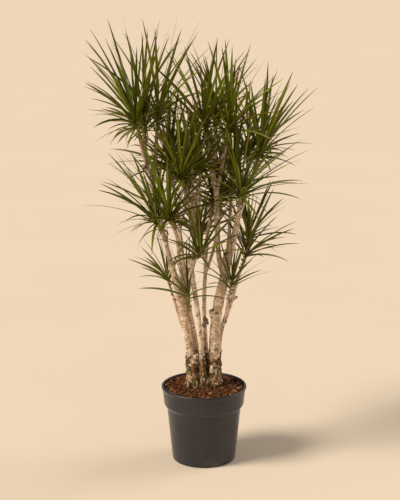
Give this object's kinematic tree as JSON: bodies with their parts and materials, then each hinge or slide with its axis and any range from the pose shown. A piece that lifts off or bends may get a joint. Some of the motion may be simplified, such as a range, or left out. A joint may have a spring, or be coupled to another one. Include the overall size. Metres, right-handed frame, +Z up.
{
  "type": "potted dracaena",
  "caption": "Free-standing house plant: branched bare canes with heads of long narrow leaves, rooted in a bark-filled tapered pot.",
  "frame": {"origin": "middle of the pot's flat underside, on the surface that the plant stands on", "axes": "+Z up along the pot's axis; +X to the right and +Y away from the viewer in the picture"},
  "size_m": [0.8322, 0.7066, 1.6141],
  "materials": {
    "pot_plastic": "matte",
    "soil_bark": "matte",
    "cane_bark": "matte",
    "leaf_green": "satin"
  },
  "bodies": {
    "root": {"pot": "pot_plastic", "soil": "soil_bark", "cane_left": "cane_bark", "cane_centre": "cane_bark", "cane_back": "cane_bark", "cane_right": "cane_bark", "head_top_left_a": "leaf_green", "head_top_left_b": "leaf_green", "head_top_left_c": "leaf_green", "head_top_middle_a": "leaf_green", "head_top_middle_b": "leaf_green", "head_top_middle_c": "leaf_green", "head_high_right": "leaf_green", "head_far_right": "leaf_green", "head_front_right": "leaf_green", "head_back_right": "leaf_green", "head_inner_left": "leaf_green", "head_back_left": "leaf_green", "head_back_middle": "leaf_green", "head_back_branch": "leaf_green", "head_fork_left": "leaf_green", "head_fork_middle": "leaf_green", "head_fork_right": "leaf_green", "head_front_left": "leaf_green", "head_side_left": "leaf_green", "head_low_right": "leaf_green", "head_low_back": "leaf_green", "head_back_low": "leaf_green", "head_low_left": "leaf_green", "head_front_shoot": "leaf_green", "head_low_front": "leaf_green", "head_centre_shoot": "leaf_green"}
  },
  "joints": []
}
